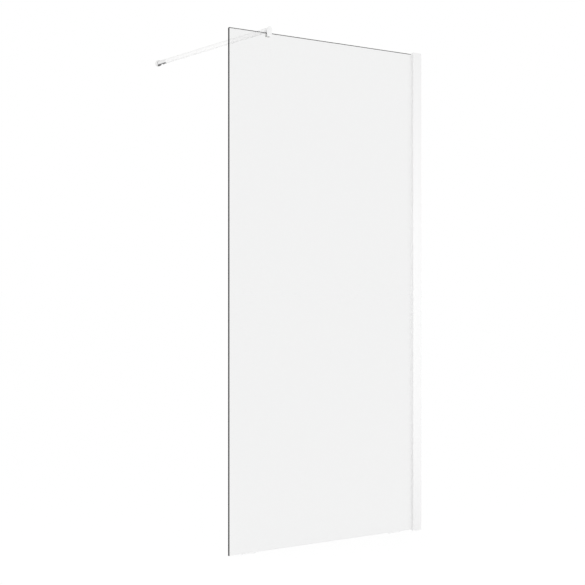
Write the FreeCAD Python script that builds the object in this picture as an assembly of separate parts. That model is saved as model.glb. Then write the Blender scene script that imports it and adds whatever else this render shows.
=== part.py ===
import FreeCAD, Part
import math
import os

# Walk-in shower screen: one glass panel in a wall profile, held at the top by a support arm.
# Millimetres. The wall plane is x = 0 and the screen runs to -X. The middle of the glass is y = 0,
# with the outside at -Y and the shower side at +Y. The tray is z = 0.

# Screen
SCREEN_WIDTH = 950.0
SCREEN_HEIGHT = 2000.0

# Glass
GLASS_THICKNESS = 10.0
GLASS_TOP_DROP = 4.0
GLASS_CORNER_RADIUS = 2.2
GLASS_ARRIS = 1.7
BLOCK_HEIGHT = 3.0
BLOCK_LENGTH = 60.0
BLOCK_INSET = 90.0
BLOCK_RIB = 1.5
BLOCK_RELIEF = 0.4

# Glazing profile
WALL_GAP = 2.5
PROFILE_WIDTH = 43.0
PROFILE_FRONT_DEPTH = 19.0
PROFILE_BACK_DEPTH = 13.0
PROFILE_WALL = 1.8
PROFILE_EDGE_RADIUS = 0.9
BACK_LIP_SETBACK = 12.5
POCKET_DEPTH = 22.0
POCKET_WALL = 1.6
GLASS_END_GAP = 2.0
GASKET_THICKNESS = 3.0
GASKET_GLASS_PLAY = 0.05
GASKET_BEAD_REACH = 0.8
GASKET_BEAD_LAP = 0.6
GASKET_BEAD_ROUND = 0.6
CAP_THICKNESS = 2.0
CAP_LEG_LENGTH = 12.0
CAP_LEG_CLEARANCE = 0.2

# Wall channel
CHANNEL_WEB = 2.5
CHANNEL_WALL = 2.0
CHANNEL_CLEARANCE = 0.3
CHANNEL_END_GAP = 1.0
CHANNEL_TOP_GAP = 1.5
WALL_HOLE_DIAMETER = 5.5
WALL_HOLE_COUNT = 4
WALL_HOLE_END = 100.0

# Locking screws between the profile and the channel
ADJUST_TRAVEL = 10.0
LOCK_COUNT = 3
LOCK_END = 200.0
LOCK_DIAMETER = 3.5
LOCK_EDGE = 3.0
LOCK_HEAD_DIAMETER = 7.0
LOCK_HEAD_HEIGHT = 2.4
LOCK_HEAD_ROUND = 1.4
LOCK_RECESS_WIDTH = 4.2
LOCK_RECESS_GROOVE = 1.0
LOCK_RECESS_DEPTH = 1.2
LOCK_TIP_REACH = 3.5
SLOT_CLEARANCE = 0.4
COVER_WALL = 1.0
COVER_ROUND = 0.8
COVER_ROOM = 0.5

# Fits
SLIDE_CLEARANCE = 0.1
THREAD_CLEARANCE = 0.05
PIVOT_CLEARANCE = 0.05

# Support bar
BAR_DIAMETER = 19.0
BAR_WALL = 1.2
ARM_SETBACK = 181.0
ARM_REACH = 861.0

# Clamp on the glass
CLAMP_LEDGE = 0.75
CLAMP_TOP_RISE = 2.0
CLAMP_GRIP = 15.0
CLAMP_FRONT_JAW = 6.1
CLAMP_REAR_JAW = 5.3
CLAMP_BAR_WEB = 1.3
CLAMP_SADDLE_HEIGHT = 1.0
CLAMP_SPIGOT_LENGTH = 16.0
CLAMP_CORNER_RADIUS = 4.0
CLAMP_FRONT_ROUND = 3.0
CLAMP_REAR_ROUND = 1.2
BAR_SCREW_REACH = 4.5
LINER_THICKNESS = 1.2
LINER_INSET = 0.3
PLATE_THICKNESS = 2.0
PLATE_MARGIN = 0.6
PLATE_PLAY = 0.3
GRUB_DIAMETER = 5.0
GRUB_SOCKET = 2.5
GRUB_SOCKET_DEPTH = 1.8
GRUB_RECESS = 0.4
GRUB_SPACING = 10.0

# Bar end and its bush
BUSH_LENGTH = 30.0
SPIGOT_DIAMETER = 12.0
LENGTH_TRAVEL = 20.0
COLLAR_LENGTH = 6.0
COLLAR_ROUND = 0.5
LENGTH_SCREW_END = 8.0

# Swivel at the wall: the bar end lies on a tongue of the wall base
LAP_DROP = 6.5
BAR_END_NOSE = 30.0
TONGUE_NOSE = 32.0
LAP_END_GAP = 1.0
WASHER_THICKNESS = 0.5
WASHER_MARGIN = 1.5
PIVOT_DIAMETER = 6.0
PIVOT_HEAD_DIAMETER = 10.0
PIVOT_HEAD_HEIGHT = 3.5
PIVOT_HEAD_DROP = 1.0
PIVOT_HEAD_CLEARANCE = 0.5
PIVOT_HEAD_CHAMFER = 0.4
PIVOT_SOCKET = 4.0
PIVOT_SOCKET_DEPTH = 2.1
PIVOT_FLOOR = 1.0
PIVOT_CAP_DIAMETER = 10.5
PIVOT_CAP_DROP = 2.0
PIVOT_CAP_ROUND = 1.0
PIVOT_CAP_LIP = 0.3

# Wall base and rosette
BASE_LEDGE = 2.0
BASE_THICKNESS = 5.0
BASE_GASKET_THICKNESS = 1.5
BASE_HOLE_DIAMETER = 4.2
BASE_HEAD_DIAMETER = 7.6
BASE_HEAD_MARGIN = 0.3
BASE_HOLE_ANGLE = 36.0
GASKET_HOLE_CLEARANCE = 0.4
ROSETTE_DEPTH = 16.0
ROSETTE_WALL = 1.3
ROSETTE_CLEARANCE = 0.2
ROSETTE_WALL_GAP = 0.5
ROSETTE_ROUND = 0.8
ROSETTE_SLOT_CLEARANCE = 0.4

# Worked out: screen
glass_half = GLASS_THICKNESS / 2
glass_bottom = BLOCK_HEIGHT
glass_top = SCREEN_HEIGHT - GLASS_TOP_DROP
profile_rear = -WALL_GAP
profile_front = profile_rear - PROFILE_WIDTH
profile_outside = -PROFILE_FRONT_DEPTH
profile_inside = PROFILE_BACK_DEPTH
profile_top = SCREEN_HEIGHT - CAP_THICKNESS
back_lip = profile_front + BACK_LIP_SETBACK
pocket_half = glass_half + GASKET_THICKNESS
pocket_floor = profile_front + POCKET_DEPTH
bridge_rear = pocket_floor + PROFILE_WALL
glass_inner = pocket_floor - GLASS_END_GAP
glass_free = -SCREEN_WIDTH

# Worked out: channel and locking screws
channel_outside = profile_outside + PROFILE_WALL + CHANNEL_CLEARANCE
channel_inside = profile_inside - PROFILE_WALL - CHANNEL_CLEARANCE
channel_end = bridge_rear + CHANNEL_END_GAP
channel_top = profile_top - CHANNEL_TOP_GAP
lock_x = channel_end + LOCK_EDGE
slot_half = LOCK_DIAMETER / 2 + SLOT_CLEARANCE
cover_x = lock_x + ADJUST_TRAVEL / 2
cover_half = LOCK_HEAD_DIAMETER / 2 + COVER_ROOM
lock_head_seat = profile_inside + SLIDE_CLEARANCE

# Worked out: clamp and bar
bar_radius = BAR_DIAMETER / 2
bar_bore_radius = bar_radius - BAR_WALL
saddle_radius = bar_radius + THREAD_CLEARANCE
clamp_x = glass_free + ARM_SETBACK
clamp_half = bar_radius + CLAMP_LEDGE
liner_inner = glass_half + SLIDE_CLEARANCE
liner_outer = liner_inner + LINER_THICKNESS
slot_rear = liner_outer + PLATE_THICKNESS + PLATE_PLAY
slot_top = glass_top + SLIDE_CLEARANCE + LINER_THICKNESS
clamp_front = -liner_outer - CLAMP_FRONT_JAW
clamp_rear = slot_rear + CLAMP_REAR_JAW
clamp_bottom = glass_top - CLAMP_GRIP
bar_z = slot_top + CLAMP_BAR_WEB + saddle_radius
saddle_top = bar_z - saddle_radius + CLAMP_SADDLE_HEIGHT
bar_start = -liner_outer
clamp_spigot_radius = bar_bore_radius - THREAD_CLEARANCE

# Worked out: wall end of the arm, from the wall back to the bar
base_radius = bar_radius + BASE_LEDGE
base_back = ARM_REACH - BASE_GASKET_THICKNESS
base_face = base_back - BASE_THICKNESS
rosette_face = ARM_REACH - ROSETTE_DEPTH
pivot_y = rosette_face - LAP_END_GAP - BAR_END_NOSE
lap_shoulder = pivot_y - TONGUE_NOSE - LAP_END_GAP
bar_finish = lap_shoulder - COLLAR_LENGTH
bush_start = bar_finish - BUSH_LENGTH
spigot_start = bush_start - LENGTH_TRAVEL
tongue_top = bar_z - LAP_DROP - WASHER_THICKNESS / 2
bar_end_foot = bar_z - LAP_DROP + WASHER_THICKNESS / 2
tongue_half = math.sqrt(bar_radius ** 2 - (bar_z - tongue_top) ** 2)
pivot_seat = bar_z + bar_radius - PIVOT_HEAD_DROP - PIVOT_HEAD_HEIGHT
pivot_cap_bottom = bar_z - bar_radius - PIVOT_CAP_DROP
pivot_hole_end = pivot_cap_bottom + PIVOT_FLOOR


def vector(x, y, z):
    return FreeCAD.Vector(x, y, z)


X_AXIS = vector(1, 0, 0)
Y_AXIS = vector(0, 1, 0)
Z_AXIS = vector(0, 0, 1)


def block(x_span, y_span, z_span):
    """A box between two limits on each axis."""
    low = vector(x_span[0], y_span[0], z_span[0])
    return Part.makeBox(x_span[1] - x_span[0], y_span[1] - y_span[0], z_span[1] - z_span[0], low)


def rod(centre, axis, radius, length):
    """A cylinder from a centre, along an axis."""
    return Part.makeCylinder(radius, length, centre, axis)


def joined(shapes):
    """One solid from shapes that touch or overlap."""
    return shapes[0].multiFuse(shapes[1:]).removeSplitter()


def spread(first, last, count):
    """Evenly spaced places from first to last."""
    return [first + (last - first) * i / (count - 1) for i in range(count)]


def edges_where(shape, test):
    """The edges whose two ends and middle all pass a test on their points."""
    chosen = []
    for edge in shape.Edges:
        first, last = edge.ParameterRange
        points = [edge.valueAt(first), edge.valueAt((first + last) / 2), edge.valueAt(last)]
        if all(test(point) for point in points):
            chosen.append(edge)
    return chosen


def near(a, b):
    return abs(a - b) < 1e-6


def upright_edges(shape, corners):
    """The vertical edges that stand on the given corners of a section."""
    return edges_where(shape, lambda p: any(near(p.x, x) and near(p.y, y) for x, y in corners))


def oval_bar(x_middle, y_span, z_middle, half_width, run):
    """A flat-sided bar with round ends along X, standing across Y."""
    depth = y_span[1] - y_span[0]
    middle = block((x_middle - run / 2, x_middle + run / 2), y_span,
                   (z_middle - half_width, z_middle + half_width))
    ends = [rod(vector(x_middle + side * run / 2, y_span[0], z_middle), Y_AXIS, half_width, depth)
            for side in (-1, 1)]
    return joined([middle] + ends)


def hex_socket(mouth, axis, across_flats, depth):
    """A hexagon prism sunk from its mouth against the axis of a screw, which is square to X."""
    across = axis.cross(X_AXIS)
    corner_radius = across_flats / math.sqrt(3)
    corners = []
    for i in range(7):
        angle = math.radians(60 * i)
        outward = X_AXIS * math.cos(angle) + across * math.sin(angle)
        corners.append(mouth + outward * corner_radius)
    return Part.Face(Part.makePolygon(corners)).extrude(axis * -depth)


def grub_screw(tip, axis, length):
    """A headless screw with a hexagon socket in its outer end."""
    body = rod(tip, axis, GRUB_DIAMETER / 2, length)
    return body.cut(hex_socket(tip + axis * length, axis, GRUB_SOCKET, GRUB_SOCKET_DEPTH))


def grub_hole(tip, axis, length):
    """The threaded hole that a grub screw sits in."""
    return rod(tip, axis, GRUB_DIAMETER / 2 + THREAD_CLEARANCE, length)


def make_glass_panel():
    panel = block((glass_free, glass_inner), (-glass_half, glass_half), (glass_bottom, glass_top))
    corners = edges_where(panel, lambda p: near(p.x, glass_free) and
                          (near(p.z, glass_bottom) or near(p.z, glass_top)))
    panel = panel.makeFillet(GLASS_CORNER_RADIUS, corners)
    arrises = edges_where(panel, lambda p: near(abs(p.y), glass_half))
    return panel.makeChamfer(GLASS_ARRIS, arrises)


def make_setting_blocks():
    """Two blocks under the glass, which stands on a narrow rib at each end of each block."""
    y_span = (-glass_half + GLASS_ARRIS, glass_half - GLASS_ARRIS)
    reach = BLOCK_LENGTH / 2
    between_ribs = reach - BLOCK_RIB
    blocks = []
    for x in [glass_free + BLOCK_INSET, profile_front - BLOCK_INSET]:
        whole = block((x - reach, x + reach), y_span, (0, BLOCK_HEIGHT))
        relief = block((x - between_ribs, x + between_ribs), y_span,
                       (BLOCK_HEIGHT - BLOCK_RELIEF, BLOCK_HEIGHT))
        blocks.append(whole.cut(relief))
    return Part.makeCompound(blocks)


def profile_plan(z_span):
    """The profile's outline between two heights: a deep front leg and a back leg that stops short of it."""
    front = block((profile_front, profile_rear), (profile_outside, -pocket_half), z_span)
    back = block((back_lip, profile_rear), (-pocket_half, profile_inside), z_span)
    plan = joined([front, back])
    corners = [(profile_front, profile_outside), (profile_rear, profile_outside),
               (back_lip, profile_inside), (profile_rear, profile_inside)]
    return plan.makeFillet(PROFILE_EDGE_RADIUS, upright_edges(plan, corners))


def chamber(z_span, clearance):
    """The hollow chamber in the front leg, beside the glass pocket, less a clearance all round."""
    return block((profile_front + PROFILE_WALL + clearance, pocket_floor - clearance),
                 (profile_outside + PROFILE_WALL + clearance, -pocket_half - POCKET_WALL - clearance), z_span)


def lock_heights():
    return spread(LOCK_END, SCREEN_HEIGHT - LOCK_END, LOCK_COUNT)


def make_glazing_profile():
    z_span = (0, profile_top)
    channel_room = block((bridge_rear, profile_rear + PROFILE_EDGE_RADIUS),
                         (profile_outside + PROFILE_WALL, profile_inside - PROFILE_WALL), z_span)
    pocket = block((profile_front - PROFILE_EDGE_RADIUS, pocket_floor), (-pocket_half, pocket_half), z_span)
    slots = [oval_bar(cover_x, (profile_inside - 2 * PROFILE_WALL, profile_inside + PROFILE_WALL), z,
                      slot_half, ADJUST_TRAVEL) for z in lock_heights()]
    return profile_plan(z_span).cut([channel_room, pocket, chamber(z_span, 0)] + slots)


def make_gasket(lip, side):
    """A strip between the glass and a lip's pocket wall, with a rounded bead over the pocket's mouth."""
    z_span = (glass_bottom, glass_top)
    inner = glass_half + GASKET_GLASS_PLAY
    bead_outer = pocket_half + GASKET_BEAD_LAP
    y_strip = sorted((side * inner, side * pocket_half))
    y_bead = sorted((side * inner, side * bead_outer))
    bead_front = lip - GASKET_BEAD_REACH
    strip = block((lip, glass_inner), y_strip, z_span)
    bead = block((bead_front, lip), y_bead, z_span)
    rounded = upright_edges(bead, [(bead_front, side * bead_outer)])
    bead = bead.makeFillet(GASKET_BEAD_ROUND, rounded)
    return joined([strip, bead])


def make_top_cap():
    plate = profile_plan((profile_top, SCREEN_HEIGHT))
    rim = edges_where(plate, lambda p: near(p.z, SCREEN_HEIGHT))
    plate = plate.makeFillet(PROFILE_EDGE_RADIUS, rim)
    leg = chamber((profile_top - CAP_LEG_LENGTH, profile_top), CAP_LEG_CLEARANCE)
    return joined([plate, leg])


def make_wall_channel():
    z_span = (0, channel_top)
    outer = block((channel_end, 0), (channel_outside, channel_inside), z_span)
    inner = block((channel_end, -CHANNEL_WEB),
                  (channel_outside + CHANNEL_WALL, channel_inside - CHANNEL_WALL), z_span)
    wall_holes = [rod(vector(-CHANNEL_WEB, 0, z), X_AXIS, WALL_HOLE_DIAMETER / 2, CHANNEL_WEB)
                  for z in spread(WALL_HOLE_END, SCREEN_HEIGHT - WALL_HOLE_END, WALL_HOLE_COUNT)]
    lock_holes = [rod(vector(lock_x, channel_inside - CHANNEL_WALL, z), Y_AXIS,
                      LOCK_DIAMETER / 2 + THREAD_CLEARANCE, CHANNEL_WALL) for z in lock_heights()]
    return outer.cut([inner] + wall_holes + lock_holes)


def make_locking_screws():
    """Pan-head screws with a cross recess and a pointed tip."""
    screws = []
    tip_end = channel_inside - CHANNEL_WALL - LOCK_TIP_REACH
    tip_start = tip_end + LOCK_DIAMETER / 2
    for z in lock_heights():
        head = rod(vector(lock_x, lock_head_seat, z), Y_AXIS, LOCK_HEAD_DIAMETER / 2, LOCK_HEAD_HEIGHT)
        head_top = lock_head_seat + LOCK_HEAD_HEIGHT
        head = head.makeFillet(LOCK_HEAD_ROUND, edges_where(head, lambda p: near(p.y, head_top)))
        shank = rod(vector(lock_x, tip_start, z), Y_AXIS, LOCK_DIAMETER / 2, lock_head_seat - tip_start)
        tip = Part.makeCone(0, LOCK_DIAMETER / 2, LOCK_DIAMETER / 2, vector(lock_x, tip_end, z), Y_AXIS)
        wide = LOCK_RECESS_WIDTH / 2
        thin = LOCK_RECESS_GROOVE / 2
        y_recess = (head_top - LOCK_RECESS_DEPTH, head_top)
        recess = [block((lock_x - a, lock_x + a), y_recess, (z - b, z + b))
                  for a, b in ((wide, thin), (thin, wide))]
        screws.append(joined([head, shank, tip]).cut(recess))
    return Part.makeCompound(screws)


def make_screw_covers():
    """Hollow oval covers that leave room for the screw heads over the whole adjustment."""
    covers = []
    inner_height = LOCK_HEAD_HEIGHT + SLIDE_CLEARANCE + COVER_ROOM
    cover_top = profile_inside + inner_height + COVER_WALL
    for z in lock_heights():
        shell = oval_bar(cover_x, (profile_inside, cover_top), z, cover_half + COVER_WALL, ADJUST_TRAVEL)
        shell = shell.makeFillet(COVER_ROUND, edges_where(shell, lambda p: near(p.y, cover_top)))
        room = oval_bar(cover_x, (profile_inside, profile_inside + inner_height), z,
                        cover_half, ADJUST_TRAVEL)
        covers.append(shell.cut(room))
    return Part.makeCompound(covers)


def make_clamp_body():
    """Two jaws over the glass edge, the front one arched, with a saddle and a spigot for the bar."""
    x_span = (clamp_x - clamp_half, clamp_x + clamp_half)
    jaws = block(x_span, (clamp_front, clamp_rear), (clamp_bottom, saddle_top))
    feet = edges_where(jaws, lambda p: near(p.z, clamp_bottom) and near(abs(p.x - clamp_x), clamp_half))
    jaws = jaws.makeFillet(CLAMP_CORNER_RADIUS, feet)
    arch_z = bar_z + CLAMP_TOP_RISE
    face = block(x_span, (clamp_front, bar_start), (saddle_top, arch_z))
    arch = rod(vector(clamp_x, clamp_front, arch_z), Y_AXIS, clamp_half, bar_start - clamp_front)
    body = joined([jaws, face, arch])
    body = body.makeFillet(CLAMP_FRONT_ROUND, edges_where(body, lambda p: near(p.y, clamp_front)))
    body = body.makeFillet(CLAMP_REAR_ROUND, edges_where(body, lambda p: near(p.y, clamp_rear)))
    slot = block(x_span, (-liner_outer, slot_rear), (clamp_bottom, slot_top))
    saddle = rod(on_bar(bar_start), Y_AXIS, saddle_radius, clamp_rear - bar_start)
    spigot = rod(on_bar(bar_start - CLAMP_FRONT_JAW / 2), Y_AXIS, clamp_spigot_radius,
                 CLAMP_FRONT_JAW / 2 + CLAMP_SPIGOT_LENGTH)
    body = joined([body.cut([slot, saddle]), spigot])
    screw_holes = [grub_hole(tip, Y_AXIS, clamp_rear - tip.y) for tip in clamp_glass_tips()]
    return body.cut(screw_holes + [grub_hole(clamp_bar_tip(), Z_AXIS, bar_radius)])


def clamp_glass_tips():
    """Where the two rear-jaw screws press on the pressure plate."""
    z = (clamp_bottom + glass_top) / 2
    y = liner_outer + PLATE_THICKNESS
    return [vector(clamp_x + side * GRUB_SPACING / 2, y, z) for side in (-1, 1)]


def clamp_bar_tip():
    """The inner end of the screw through the top of the bar, half-way along the clamp's spigot."""
    return vector(clamp_x, bar_start + CLAMP_SPIGOT_LENGTH / 2, bar_z + clamp_spigot_radius - BAR_SCREW_REACH)


def make_clamp_liner():
    """A rubber U that lines both jaws, a little inside their outline."""
    reach = clamp_half - LINER_INSET
    x_span = (clamp_x - reach, clamp_x + reach)
    foot = clamp_bottom + LINER_INSET
    outside = block(x_span, (-liner_outer, liner_outer), (foot, slot_top))
    inside = block(x_span, (-liner_inner, liner_inner), (foot, glass_top + SLIDE_CLEARANCE))
    liner = outside.cut(inside)
    feet = edges_where(liner, lambda p: near(p.z, foot) and near(abs(p.x - clamp_x), reach))
    return liner.makeFillet(CLAMP_CORNER_RADIUS, feet)


def make_clamp_pressure_plate():
    reach = clamp_half - PLATE_MARGIN
    return block((clamp_x - reach, clamp_x + reach), (liner_outer, liner_outer + PLATE_THICKNESS),
                 (clamp_bottom + PLATE_MARGIN, glass_top - PLATE_MARGIN))


def make_clamp_glass_screws():
    return Part.makeCompound([grub_screw(tip, Y_AXIS, clamp_rear - GRUB_RECESS - tip.y)
                              for tip in clamp_glass_tips()])


def make_clamp_bar_screw():
    tip = clamp_bar_tip()
    return grub_screw(tip, Z_AXIS, bar_z + bar_radius - GRUB_RECESS - tip.z)


def on_bar(y):
    """A point on the bar's axis."""
    return vector(clamp_x, y, bar_z)


def length_screw_tip():
    """Where the screw under the bar meets the sliding spigot."""
    return vector(clamp_x, bar_finish - LENGTH_SCREW_END, bar_z - SPIGOT_DIAMETER / 2 - SLIDE_CLEARANCE)


def length_screw_reach():
    return bar_radius - SPIGOT_DIAMETER / 2 - SLIDE_CLEARANCE


def make_support_bar():
    length = bar_finish - bar_start
    tube = rod(on_bar(bar_start), Y_AXIS, bar_radius, length)
    inside = rod(on_bar(bar_start), Y_AXIS, bar_bore_radius, length)
    screw_holes = [grub_hole(clamp_bar_tip(), Z_AXIS, bar_radius),
                   grub_hole(length_screw_tip(), -Z_AXIS, bar_radius)]
    return tube.cut([inside] + screw_holes)


def make_bar_bush():
    bush = rod(on_bar(bush_start), Y_AXIS, bar_bore_radius - THREAD_CLEARANCE, BUSH_LENGTH)
    inside = rod(on_bar(bush_start), Y_AXIS, SPIGOT_DIAMETER / 2 + SLIDE_CLEARANCE, BUSH_LENGTH)
    return bush.cut([inside, grub_hole(length_screw_tip(), -Z_AXIS, bar_radius)])


def make_bar_length_screw():
    return grub_screw(length_screw_tip(), -Z_AXIS, length_screw_reach() - GRUB_RECESS)


def swivel_round(radius):
    """A round bar in line with the support bar, from the support bar's end to the wall."""
    return rod(on_bar(bar_finish), Y_AXIS, radius, ARM_REACH - bar_finish)


def lap(y_root, nose_radius, z_span):
    """A slice of the round bar from its root past the pivot, with its end rounded about the pivot."""
    x_span = (clamp_x - nose_radius, clamp_x + nose_radius)
    y_tip = pivot_y + math.copysign(nose_radius, pivot_y - y_root)
    shank = block(x_span, sorted((y_root, pivot_y)), z_span)
    nose = rod(vector(clamp_x, pivot_y, z_span[0]), Z_AXIS, nose_radius, z_span[1] - z_span[0])
    nose = nose.common(block(x_span, sorted((pivot_y, y_tip)), z_span))
    return joined([shank, nose]).common(swivel_round(bar_radius))


def pivot_thread():
    """The threaded hole for the end of the pivot screw, through the tongue and into the cap."""
    return rod(vector(clamp_x, pivot_y, pivot_hole_end), Z_AXIS, PIVOT_DIAMETER / 2 + THREAD_CLEARANCE,
               tongue_top - pivot_hole_end)


def make_bar_end():
    """A spigot that slides in the bar, a collar of the bar's size and the upper part of the swivel."""
    spigot = rod(on_bar(spigot_start), Y_AXIS, SPIGOT_DIAMETER / 2, bar_finish - spigot_start)
    collar = rod(on_bar(bar_finish), Y_AXIS, bar_radius, COLLAR_LENGTH)
    collar = collar.makeFillet(COLLAR_ROUND, edges_where(collar, lambda p: near(p.y, lap_shoulder)))
    upper = lap(lap_shoulder - COLLAR_ROUND, BAR_END_NOSE, (bar_end_foot, bar_z + BAR_DIAMETER))
    pivot_hole = rod(vector(clamp_x, pivot_y, bar_end_foot), Z_AXIS, PIVOT_DIAMETER / 2 + PIVOT_CLEARANCE,
                     BAR_DIAMETER)
    head_room = rod(vector(clamp_x, pivot_y, pivot_seat), Z_AXIS,
                    PIVOT_HEAD_DIAMETER / 2 + PIVOT_HEAD_CLEARANCE, bar_radius)
    return joined([spigot, collar, upper]).cut([pivot_hole, head_room])


def make_pivot_screw():
    """A shoulder screw that is threaded into the tongue and the cap and carries the bar end."""
    head = rod(vector(clamp_x, pivot_y, pivot_seat + SLIDE_CLEARANCE), Z_AXIS,
               PIVOT_HEAD_DIAMETER / 2, PIVOT_HEAD_HEIGHT - SLIDE_CLEARANCE)
    head_top = pivot_seat + PIVOT_HEAD_HEIGHT
    head = head.makeChamfer(PIVOT_HEAD_CHAMFER, edges_where(head, lambda p: near(p.z, head_top)))
    start = pivot_hole_end + THREAD_CLEARANCE
    shank = rod(vector(clamp_x, pivot_y, start), Z_AXIS, PIVOT_DIAMETER / 2,
                pivot_seat + SLIDE_CLEARANCE - start)
    socket = hex_socket(vector(clamp_x, pivot_y, head_top), Z_AXIS, PIVOT_SOCKET, PIVOT_SOCKET_DEPTH)
    return joined([head, shank]).cut(socket)


def make_pivot_washer():
    centre = vector(clamp_x, pivot_y, tongue_top)
    ring = rod(centre, Z_AXIS, tongue_half - WASHER_MARGIN, WASHER_THICKNESS)
    return ring.cut(rod(centre, Z_AXIS, PIVOT_DIAMETER / 2 + THREAD_CLEARANCE, WASHER_THICKNESS))


def make_pivot_cap():
    """A round cap under the tongue, hollowed to fit its round side, for the end of the pivot screw."""
    height = tongue_top - PIVOT_CAP_LIP - pivot_cap_bottom
    cap = rod(vector(clamp_x, pivot_y, pivot_cap_bottom), Z_AXIS, PIVOT_CAP_DIAMETER / 2, height)
    cap = cap.makeFillet(PIVOT_CAP_ROUND, edges_where(cap, lambda p: near(p.z, pivot_cap_bottom)))
    return cap.cut([swivel_round(bar_radius + SLIDE_CLEARANCE), pivot_thread()])


def base_screw_places():
    """The two wall screws, beside each other above the tongue, as far out as their heads allow."""
    radius = base_radius - BASE_HEAD_DIAMETER / 2 - BASE_HEAD_MARGIN
    angle = math.radians(BASE_HOLE_ANGLE)
    return [(clamp_x + side * radius * math.cos(angle), bar_z + radius * math.sin(angle)) for side in (-1, 1)]


def make_wall_base():
    """A disc on the wall with the tongue of the swivel and two countersunk holes."""
    disc = rod(on_bar(base_face), Y_AXIS, base_radius, BASE_THICKNESS)
    tongue = lap(base_face + BASE_THICKNESS / 2, TONGUE_NOSE, (bar_z - BAR_DIAMETER, tongue_top))
    base = joined([disc, tongue])
    cuts = [pivot_thread()]
    hole_radius = BASE_HOLE_DIAMETER / 2
    head_radius = BASE_HEAD_DIAMETER / 2
    for x, z in base_screw_places():
        cuts.append(rod(vector(x, base_face, z), Y_AXIS, hole_radius, BASE_THICKNESS))
        cuts.append(Part.makeCone(head_radius, hole_radius, head_radius - hole_radius,
                                  vector(x, base_face, z), Y_AXIS))
    return base.cut(cuts)


def make_base_gasket():
    disc = rod(on_bar(base_back), Y_AXIS, base_radius, BASE_GASKET_THICKNESS)
    hole_radius = BASE_HOLE_DIAMETER / 2 + GASKET_HOLE_CLEARANCE
    return disc.cut([rod(vector(x, base_back, z), Y_AXIS, hole_radius, BASE_GASKET_THICKNESS)
                     for x, z in base_screw_places()])


def make_rosette():
    """A round cover that slips over the tongue and the base, with an opening below the tongue."""
    inner_radius = base_radius + ROSETTE_CLEARANCE
    outer_radius = inner_radius + ROSETTE_WALL
    cup = rod(on_bar(rosette_face), Y_AXIS, outer_radius, ROSETTE_DEPTH - ROSETTE_WALL_GAP)
    cup = cup.makeFillet(ROSETTE_ROUND, edges_where(cup, lambda p: near(p.y, rosette_face)))
    room = rod(on_bar(rosette_face + ROSETTE_WALL), Y_AXIS, inner_radius, ROSETTE_DEPTH)
    slot_half_width = tongue_half + ROSETTE_SLOT_CLEARANCE
    slot = block((clamp_x - slot_half_width, clamp_x + slot_half_width), (rosette_face, base_face),
                 (bar_z - 2 * outer_radius, tongue_top + ROSETTE_SLOT_CLEARANCE))
    return cup.cut([room, slot])


PIECES = {
    "wall_channel": make_wall_channel,
    "channel_locking_screws": make_locking_screws,
    "glazing_profile": make_glazing_profile,
    "glass_panel": make_glass_panel,
    "front_gasket": lambda: make_gasket(profile_front, -1),
    "rear_gasket": lambda: make_gasket(back_lip, 1),
    "setting_blocks": make_setting_blocks,
    "top_cap": make_top_cap,
    "screw_covers": make_screw_covers,
    "clamp_body": make_clamp_body,
    "clamp_liner": make_clamp_liner,
    "clamp_pressure_plate": make_clamp_pressure_plate,
    "clamp_glass_screws": make_clamp_glass_screws,
    "clamp_bar_screw": make_clamp_bar_screw,
    "support_bar": make_support_bar,
    "bar_bush": make_bar_bush,
    "bar_length_screw": make_bar_length_screw,
    "bar_end": make_bar_end,
    "pivot_screw": make_pivot_screw,
    "pivot_washer": make_pivot_washer,
    "pivot_cap": make_pivot_cap,
    "wall_base": make_wall_base,
    "base_gasket": make_base_gasket,
    "rosette": make_rosette,
}

os.makedirs("parts", exist_ok=True)
for node, make in PIECES.items():
    shape = make()
    shape.exportStep("parts/" + node + ".step")
    print(node, len(shape.Solids), "solids", round(shape.Volume, 1), "mm3, valid", shape.isValid())
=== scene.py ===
"""Walk-in shower screen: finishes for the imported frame, with a plain white studio and the camera."""
import math

import bpy
import numpy as np
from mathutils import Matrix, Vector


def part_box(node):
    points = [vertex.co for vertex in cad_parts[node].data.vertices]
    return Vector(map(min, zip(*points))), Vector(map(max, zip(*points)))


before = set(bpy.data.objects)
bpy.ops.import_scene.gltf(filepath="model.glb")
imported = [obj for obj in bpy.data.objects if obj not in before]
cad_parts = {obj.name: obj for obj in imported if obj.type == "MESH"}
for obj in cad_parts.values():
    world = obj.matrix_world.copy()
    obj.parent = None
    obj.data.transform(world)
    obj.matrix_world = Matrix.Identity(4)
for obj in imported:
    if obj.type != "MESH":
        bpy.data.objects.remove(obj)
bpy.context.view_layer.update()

# The axis that a piece's grain runs along
ALONG_ARM = 1
UPRIGHT = 2

# The photo's frame, in pixels, and the sensor that the lens is worked out for, in millimetres
FRAME_PIXELS = 585.0
SENSOR_WIDTH = 36.0

# Where the glass changes its finish: start and end of each fade, in metres from a face, the foot or an end
FACE_FADE = (0.00006, 0.00014)
FOOT_FADE = (0.002, 0.006)
POCKET_FADE = (0.002, 0.006)
DARK_END_FADE = (0.0010, 0.0013)
PAST_END_FADE = (0.0019, 0.0025)


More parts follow.
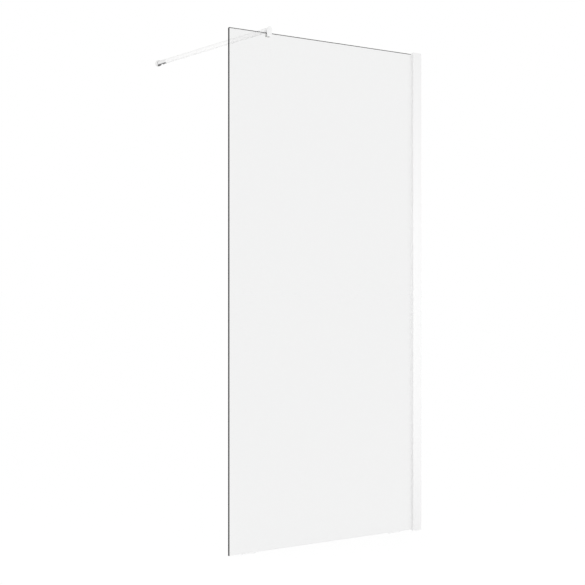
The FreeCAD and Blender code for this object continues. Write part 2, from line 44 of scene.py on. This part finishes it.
class Value:
    """A shader socket that takes part in Python expressions: each operator adds one Math node."""

    def __init__(self, finish, socket):
        self.finish = finish
        self.socket = socket

    def math(self, operation, *others, clamp=False):
        settings = {"operation": operation, "use_clamp": clamp}
        return self.finish.node("ShaderNodeMath", settings, dict(enumerate((self, *others))))

    def __add__(self, other):
        return self.math("ADD", other)

    __radd__ = __add__

    def __sub__(self, other):
        return self.math("SUBTRACT", other)

    def __rsub__(self, other):
        return self.finish.node("ShaderNodeMath", {"operation": "SUBTRACT"}, {0: other, 1: self})

    def __mul__(self, other):
        return self.math("MULTIPLY", other)

    __rmul__ = __mul__

    def __abs__(self):
        return self.math("ABSOLUTE")

    def high(self, other):
        """The higher of two values."""
        return self.math("MAXIMUM", other)

    def between(self, start, end):
        """0 up to start, 1 from end on, and a straight rise between them."""
        return ((self - start) * (1.0 / (end - start))).math("ADD", 0.0, clamp=True)


class Finish:
    """The node tree of a material or world, built from expressions."""

    def __init__(self, owner):
        owner.use_nodes = True
        self.owner = owner
        self.tree = owner.node_tree
        self.tree.nodes.clear()

    def node(self, kind, settings=None, sockets=None, output=0):
        """Add a node, give it its settings, then fill or link its sockets; return one output, if any."""
        made = self.tree.nodes.new(kind)
        for name, setting in (settings or {}).items():
            setattr(made, name, setting)
        for name, filling in (sockets or {}).items():
            if isinstance(filling, Value):
                self.tree.links.new(filling.socket, made.inputs[name])
            else:
                made.inputs[name].default_value = filling
        return Value(self, made.outputs[output]) if made.outputs else None

    def place(self):
        """Object coordinates, in metres."""
        return self.node("ShaderNodeTexCoord", output="Object")

    def axes(self, point):
        """The three coordinates of a point as values."""
        return [self.node("ShaderNodeSeparateXYZ", {}, {0: point}, axis) for axis in range(3)]

    def stretched(self, point, scale):
        """A point with its three coordinates multiplied, for grain that runs along one axis."""
        return self.node("ShaderNodeVectorMath", {"operation": "MULTIPLY"}, {0: point, 1: scale})

    def grain(self, point, per_metre=1.0, detail=2.0, rough=0.5):
        """Noise between 0 and 1 with the given number of features in a metre."""
        sockets = {"Vector": point, "Scale": per_metre, "Detail": detail, "Roughness": rough}
        return self.node("ShaderNodeTexNoise", {}, sockets, "Fac")

    def mixed(self, share, first, second):
        """A colour between two colours."""
        sockets = {0: share, 6: (*first, 1.0), 7: (*second, 1.0)}
        return self.node("ShaderNodeMix", {"data_type": "RGBA"}, sockets, 2)

    def varied(self, share, tone, least, most):
        """A tone that goes from its least to its most times itself."""
        return self.mixed(share, [least * t for t in tone], [most * t for t in tone])

    def bump(self, height, depth, strength):
        """A bump of the given depth in metres."""
        return self.node("ShaderNodeBump", {}, {"Height": height, "Distance": depth, "Strength": strength})

    def ray(self, kind):
        """1 for rays of one kind, such as Is Camera Ray, and 0 for the others."""
        return self.node("ShaderNodeLightPath", output=kind)

    def surface(self, **sockets):
        """A Principled surface; names use _ for the blanks in its sockets' names."""
        named = {name.replace("_", " "): filling for name, filling in sockets.items()}
        return self.node("ShaderNodeBsdfPrincipled", {}, named)

    def blend(self, share, first, second):
        """Two shaders mixed by a share."""
        return self.node("ShaderNodeMixShader", {}, {0: share, 1: first, 2: second})

    def close(self, shader, kind="ShaderNodeOutputMaterial"):
        """Send a shader to the tree's output; return the material or world."""
        self.node(kind, {}, {"Surface": shader})
        return self.owner


def finish_named(name):
    return Finish(bpy.data.materials.new(name))


def grey(level):
    return (level, level, level)


def along(axis, lengthwise, crosswise):
    """Features in a metre on each axis, for grain that runs along one of them."""
    return tuple(lengthwise if other == axis else crosswise for other in range(3))


def powder_coat(name, tone, long_axis):
    """Satin white powder coat: fine orange peel, a faint drawing grain and a soft mottle."""
    f = finish_named(name)
    point = f.place()
    peel = f.grain(point, per_metre=900.0, rough=0.45)
    speck = f.grain(point, per_metre=3800.0, detail=1.0)
    drawn = f.grain(f.stretched(point, along(long_axis, lengthwise=6.0, crosswise=420.0)))
    mottle = f.grain(point, per_metre=14.0, detail=3.0)
    shade = 0.55 * mottle + 0.25 * speck + 0.2 * drawn
    height = 0.72 * peel + 0.16 * speck + 0.12 * drawn
    return f.close(f.surface(
        Base_Color=f.varied(shade, tone, least=0.985, most=1.012),
        Roughness=0.30 + 0.10 * speck + 0.06 * mottle,
        IOR=1.48,
        Normal=f.bump(height, depth=0.00006, strength=0.35),
    ))


def moulded_plastic(name, tone):
    """Moulded satin plastic: a fine eroded texture from the tool and faint flow marks."""
    f = finish_named(name)
    point = f.place()
    eroded = f.grain(point, per_metre=2600.0, detail=3.0, rough=0.6)
    flow = f.grain(f.stretched(point, along(UPRIGHT, lengthwise=18.0, crosswise=60.0)))
    return f.close(f.surface(
        Base_Color=f.varied(flow, tone, least=0.985, most=1.01),
        Roughness=0.36 + 0.14 * eroded,
        IOR=1.49,
        Normal=f.bump(eroded, depth=0.00004, strength=0.4),
    ))


def soft_rubber(name, tone, long_axis, bloom):
    """Extruded rubber: matte, with fine lines along its length and a pale bloom in patches."""
    f = finish_named(name)
    point = f.place()
    lines = f.grain(f.stretched(point, along(long_axis, lengthwise=8.0, crosswise=1400.0)))
    dust = f.grain(point, per_metre=160.0, detail=4.0, rough=0.6)
    pores = f.grain(point, per_metre=5200.0, detail=1.0)
    return f.close(f.surface(
        Base_Color=f.varied(0.45 * lines + 0.55 * dust, tone, least=1.0 - bloom, most=1.0 + bloom),
        Roughness=0.62 + 0.2 * dust,
        IOR=1.5,
        Normal=f.bump(0.6 * lines + 0.4 * pores, depth=0.00005, strength=0.5),
    ))


def turned_metal(name, tone, roughness, mark_depth):
    """Turned or milled metal: close tool marks, a little tarnish and a few worn spots."""
    f = finish_named(name)
    point = f.place()
    marks = f.grain(f.stretched(point, along(UPRIGHT, lengthwise=500.0, crosswise=2600.0)))
    tarnish = f.grain(point, per_metre=130.0, detail=4.0, rough=0.6)
    return f.close(f.surface(
        Base_Color=f.varied(tarnish, tone, least=0.86, most=1.06),
        Metallic=1.0,
        Roughness=roughness + 0.16 * marks + 0.1 * tarnish,
        Normal=f.bump(marks, depth=mark_depth, strength=0.5),
    ))


def toughened_glass(name, tint, painted_edge_shade):
    """Clear sheet glass with dark polished edges.

    The edge is where a point lies inside the two faces. Light that enters there crosses the whole sheet,
    so it looks dark; that darkness is painted shade, an opaque near-black surface. Along the foot, in the
    profile's pocket and on the outer half of the free end's arris it lets what is behind it straight
    through. The lamps shine through the sheet.
    """
    f = finish_named(name)
    point = f.place()
    across, thick, up = f.axes(point)
    low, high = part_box("glass_panel")
    free_end, foot, pocket_end = float(low[0]), float(low[2]), float(high[0])
    face = 0.5 * float(high[1] - low[1])
    edge = (face - abs(thick)).between(*FACE_FADE)
    above_foot = (up - foot).between(*FOOT_FADE)
    out_of_pocket = (pocket_end - across).between(*POCKET_FADE)
    dark_end = 1.0 - (across - free_end).between(*DARK_END_FADE)
    past_end = (across - free_end).between(*PAST_END_FADE)
    bare = (above_foot * out_of_pocket * past_end).high(dark_end)
    ripple = f.grain(f.stretched(point, along(UPRIGHT, lengthwise=1.2, crosswise=3.0)), detail=1.0)
    clear = f.surface(
        Base_Color=(*tint, 1.0),
        Roughness=0.0,
        IOR=1.5,
        Transmission_Weight=1.0,
        Normal=f.bump(ripple, depth=0.0004, strength=0.15),
    )
    streak = f.grain(point, per_metre=900.0)
    # Painted shade: the glass edge is an opaque near-black surface with faint streaks, standing in for the
    # light lost across the sheet
    painted_dark_edge = f.surface(
        Base_Color=f.varied(streak, painted_edge_shade, least=0.8, most=1.2),
        Roughness=0.12 + 0.1 * streak,
        IOR=1.2,
    )
    covered = f.surface(Base_Color=(1.0, 1.0, 1.0, 1.0), Roughness=0.0, IOR=1.0, Transmission_Weight=1.0)
    each_face = [math.sqrt(t) for t in tint]
    open_to_lamps = f.node("ShaderNodeBsdfTransparent", {}, {"Color": (*each_face, 1.0)})
    sheet = f.blend(f.ray("Is Shadow Ray"), clear, open_to_lamps)
    return f.close(f.blend(edge, sheet, f.blend(bare, covered, painted_dark_edge)))


def clear_block_gel(name, tint):
    """Clear soft gel of the setting blocks, faintly milky, with fine scuffs."""
    f = finish_named(name)
    scuff = f.grain(f.place(), per_metre=900.0, detail=3.0, rough=0.6)
    return f.close(f.surface(
        Base_Color=f.varied(scuff, tint, least=0.98, most=1.0),
        Roughness=0.02 + 0.05 * scuff,
        IOR=1.1,
        Transmission_Weight=0.9,
        Normal=f.bump(scuff, depth=0.00002, strength=0.2),
    ))


coat_profile = powder_coat("white_coat_profile", grey(0.90), UPRIGHT)
coat_arm = powder_coat("white_coat_arm", grey(0.90), ALONG_ARM)
# Painted shade: the rosette and bar end get the arm's white coat darkened from 0.90 to 0.81, a shaded copy
# of it for the shade at the wall end
painted_shade_wall_end_coat = powder_coat("white_coat_painted_shade_wall_end", grey(0.81), ALONG_ARM)
cap_plastic = moulded_plastic("white_plastic_cap", (0.89, 0.89, 0.885))
gasket_pale = soft_rubber("pale_gasket_rubber", grey(0.86), UPRIGHT, bloom=0.03)
liner_pale = soft_rubber("pale_liner_rubber", grey(0.90), ALONG_ARM, bloom=0.03)
gasket_black = soft_rubber("black_gasket_rubber", (0.05, 0.05, 0.052), ALONG_ARM, bloom=0.2)
screw_steel = turned_metal("turned_stainless", (0.56, 0.56, 0.55), roughness=0.22, mark_depth=0.00003)
base_steel = turned_metal("dark_base_steel", (0.21, 0.21, 0.213), roughness=0.34, mark_depth=0.00005)
bush_brass = turned_metal("turned_brass", (0.72, 0.53, 0.25), roughness=0.24, mark_depth=0.00003)
nylon = moulded_plastic("natural_nylon", (0.78, 0.78, 0.74))
block_gel = clear_block_gel("clear_block", (0.99, 0.995, 0.995))
# The last tone is the painted shade of the glass edges, near black
sheet_glass = toughened_glass("clear_toughened_glass", (0.885, 0.886, 0.886), (0.006, 0.0065, 0.0065))

FINISHES = {
    "wall_channel": coat_profile,
    "channel_locking_screws": screw_steel,
    "glazing_profile": coat_profile,
    "glass_panel": sheet_glass,
    "front_gasket": gasket_pale,
    "rear_gasket": gasket_pale,
    "setting_blocks": block_gel,
    "top_cap": cap_plastic,
    "screw_covers": cap_plastic,
    "clamp_body": coat_arm,
    "clamp_liner": liner_pale,
    "clamp_pressure_plate": nylon,
    "clamp_glass_screws": screw_steel,
    "clamp_bar_screw": screw_steel,
    "support_bar": coat_arm,
    "bar_bush": bush_brass,
    "bar_length_screw": screw_steel,
    "bar_end": painted_shade_wall_end_coat,
    "pivot_screw": screw_steel,
    "pivot_washer": nylon,
    "pivot_cap": coat_arm,
    "wall_base": base_steel,
    "base_gasket": gasket_black,
    "rosette": painted_shade_wall_end_coat,
}
for node, finish in FINISHES.items():
    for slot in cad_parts[node].material_slots:
        slot.material = finish


def seen_directly(f):
    """1 for rays from the camera, a mirror or through glass, and 0 for the light that falls on things."""
    return f.ray("Is Camera Ray").high(f.ray("Is Glossy Ray")).high(f.ray("Is Transmission Ray"))


def white_studio(ambient):
    """A white surround that is seen as plain white and lights the object softly and evenly."""
    f = Finish(bpy.data.worlds.new("white_studio"))
    seen = seen_directly(f)
    level = seen + (1.0 - seen) * ambient
    surround = f.node("ShaderNodeBackground", {}, {"Color": (1.0, 1.0, 1.0, 1.0), "Strength": level})
    bpy.context.scene.world = f.close(surround, "ShaderNodeOutputWorld")


def pale_floor(half_width):
    """A flat grid, z = 0 for all x and y, with a white finish that keeps a faint shadow."""
    line = np.linspace(-half_width, half_width, 3)
    x, y = np.meshgrid(line, line, indexing="ij")
    points = np.stack([x.ravel(), y.ravel(), np.zeros(x.size)], axis=1)
    corner = (np.arange(2)[:, None] * line.size + np.arange(2)[None, :]).ravel()
    faces = np.stack([corner, corner + line.size, corner + line.size + 1, corner + 1], axis=1)
    mesh = bpy.data.meshes.new("floor")
    mesh.from_pydata(points.tolist(), [], faces.tolist())
    f = finish_named("white_floor")
    paint = f.varied(f.grain(f.place(), per_metre=3.0), grey(1.0), least=0.81, most=0.83)
    matte = f.node("ShaderNodeBsdfDiffuse", {}, {"Color": paint})
    bright = f.node("ShaderNodeEmission", {}, {"Color": (1.0, 1.0, 1.0, 1.0), "Strength": 1.02})
    mesh.materials.append(f.close(f.blend(0.2 + 0.73 * seen_directly(f), matte, bright)))
    floor = bpy.data.objects.new("floor", mesh)
    bpy.context.scene.collection.objects.link(floor)


def soft_lamp(name, place, aim, side, radiance):
    """A square lamp of even radiance, hidden from the camera and from reflections."""
    lamp = bpy.data.lights.new(name, "AREA")
    lamp.shape = "RECTANGLE"
    lamp.size = side
    lamp.size_y = side
    lamp.energy = radiance * math.pi * side * side
    holder = bpy.data.objects.new(name, lamp)
    x, y, z = np.subtract(aim, place)
    turn = math.atan2(y, x) - math.pi / 2
    tilt = math.atan2(z, math.hypot(x, y)) + math.pi / 2
    holder.location = place
    holder.rotation_euler = (tilt, 0.0, turn)
    holder.visible_camera = False
    holder.visible_glossy = False
    holder.visible_transmission = False
    bpy.context.scene.collection.objects.link(holder)


def photo_camera(place, heading, focal_pixels, horizon_pixels):
    """A level camera: heading in degrees from +Y towards +X, lens and shift in the photo's pixels."""
    camera = bpy.data.cameras.new("photo_camera")
    camera.sensor_width = SENSOR_WIDTH
    camera.lens = focal_pixels / FRAME_PIXELS * camera.sensor_width
    camera.shift_y = horizon_pixels / FRAME_PIXELS
    camera.clip_start = 0.05
    camera.clip_end = 6000.0
    holder = bpy.data.objects.new("photo_camera", camera)
    holder.location = place
    holder.rotation_euler = (math.pi / 2, 0.0, -math.radians(heading))
    bpy.context.scene.collection.objects.link(holder)
    bpy.context.scene.camera = holder


white_studio(ambient=0.885)
pale_floor(half_width=3000.0)
soft_lamp("front_lamp", place=(-0.7, -1.5, 1.0), aim=(-0.4, 0.0, 1.0), side=0.9, radiance=2.8)
soft_lamp("left_lamp", place=(-3.0, -0.4, 0.7), aim=(0.0, 0.0, 0.9), side=1.4, radiance=1.7)
soft_lamp("arm_lamp", place=(-2.6, 0.2, 1.3), aim=(-0.77, 0.2, 2.0), side=1.0, radiance=1.6)
photo_camera((-3.4818, -3.9439, 0.9883), heading=35.6438, focal_pixels=1242.26, horizon_pixels=2.13)
bpy.context.scene.view_settings.view_transform = "Standard"
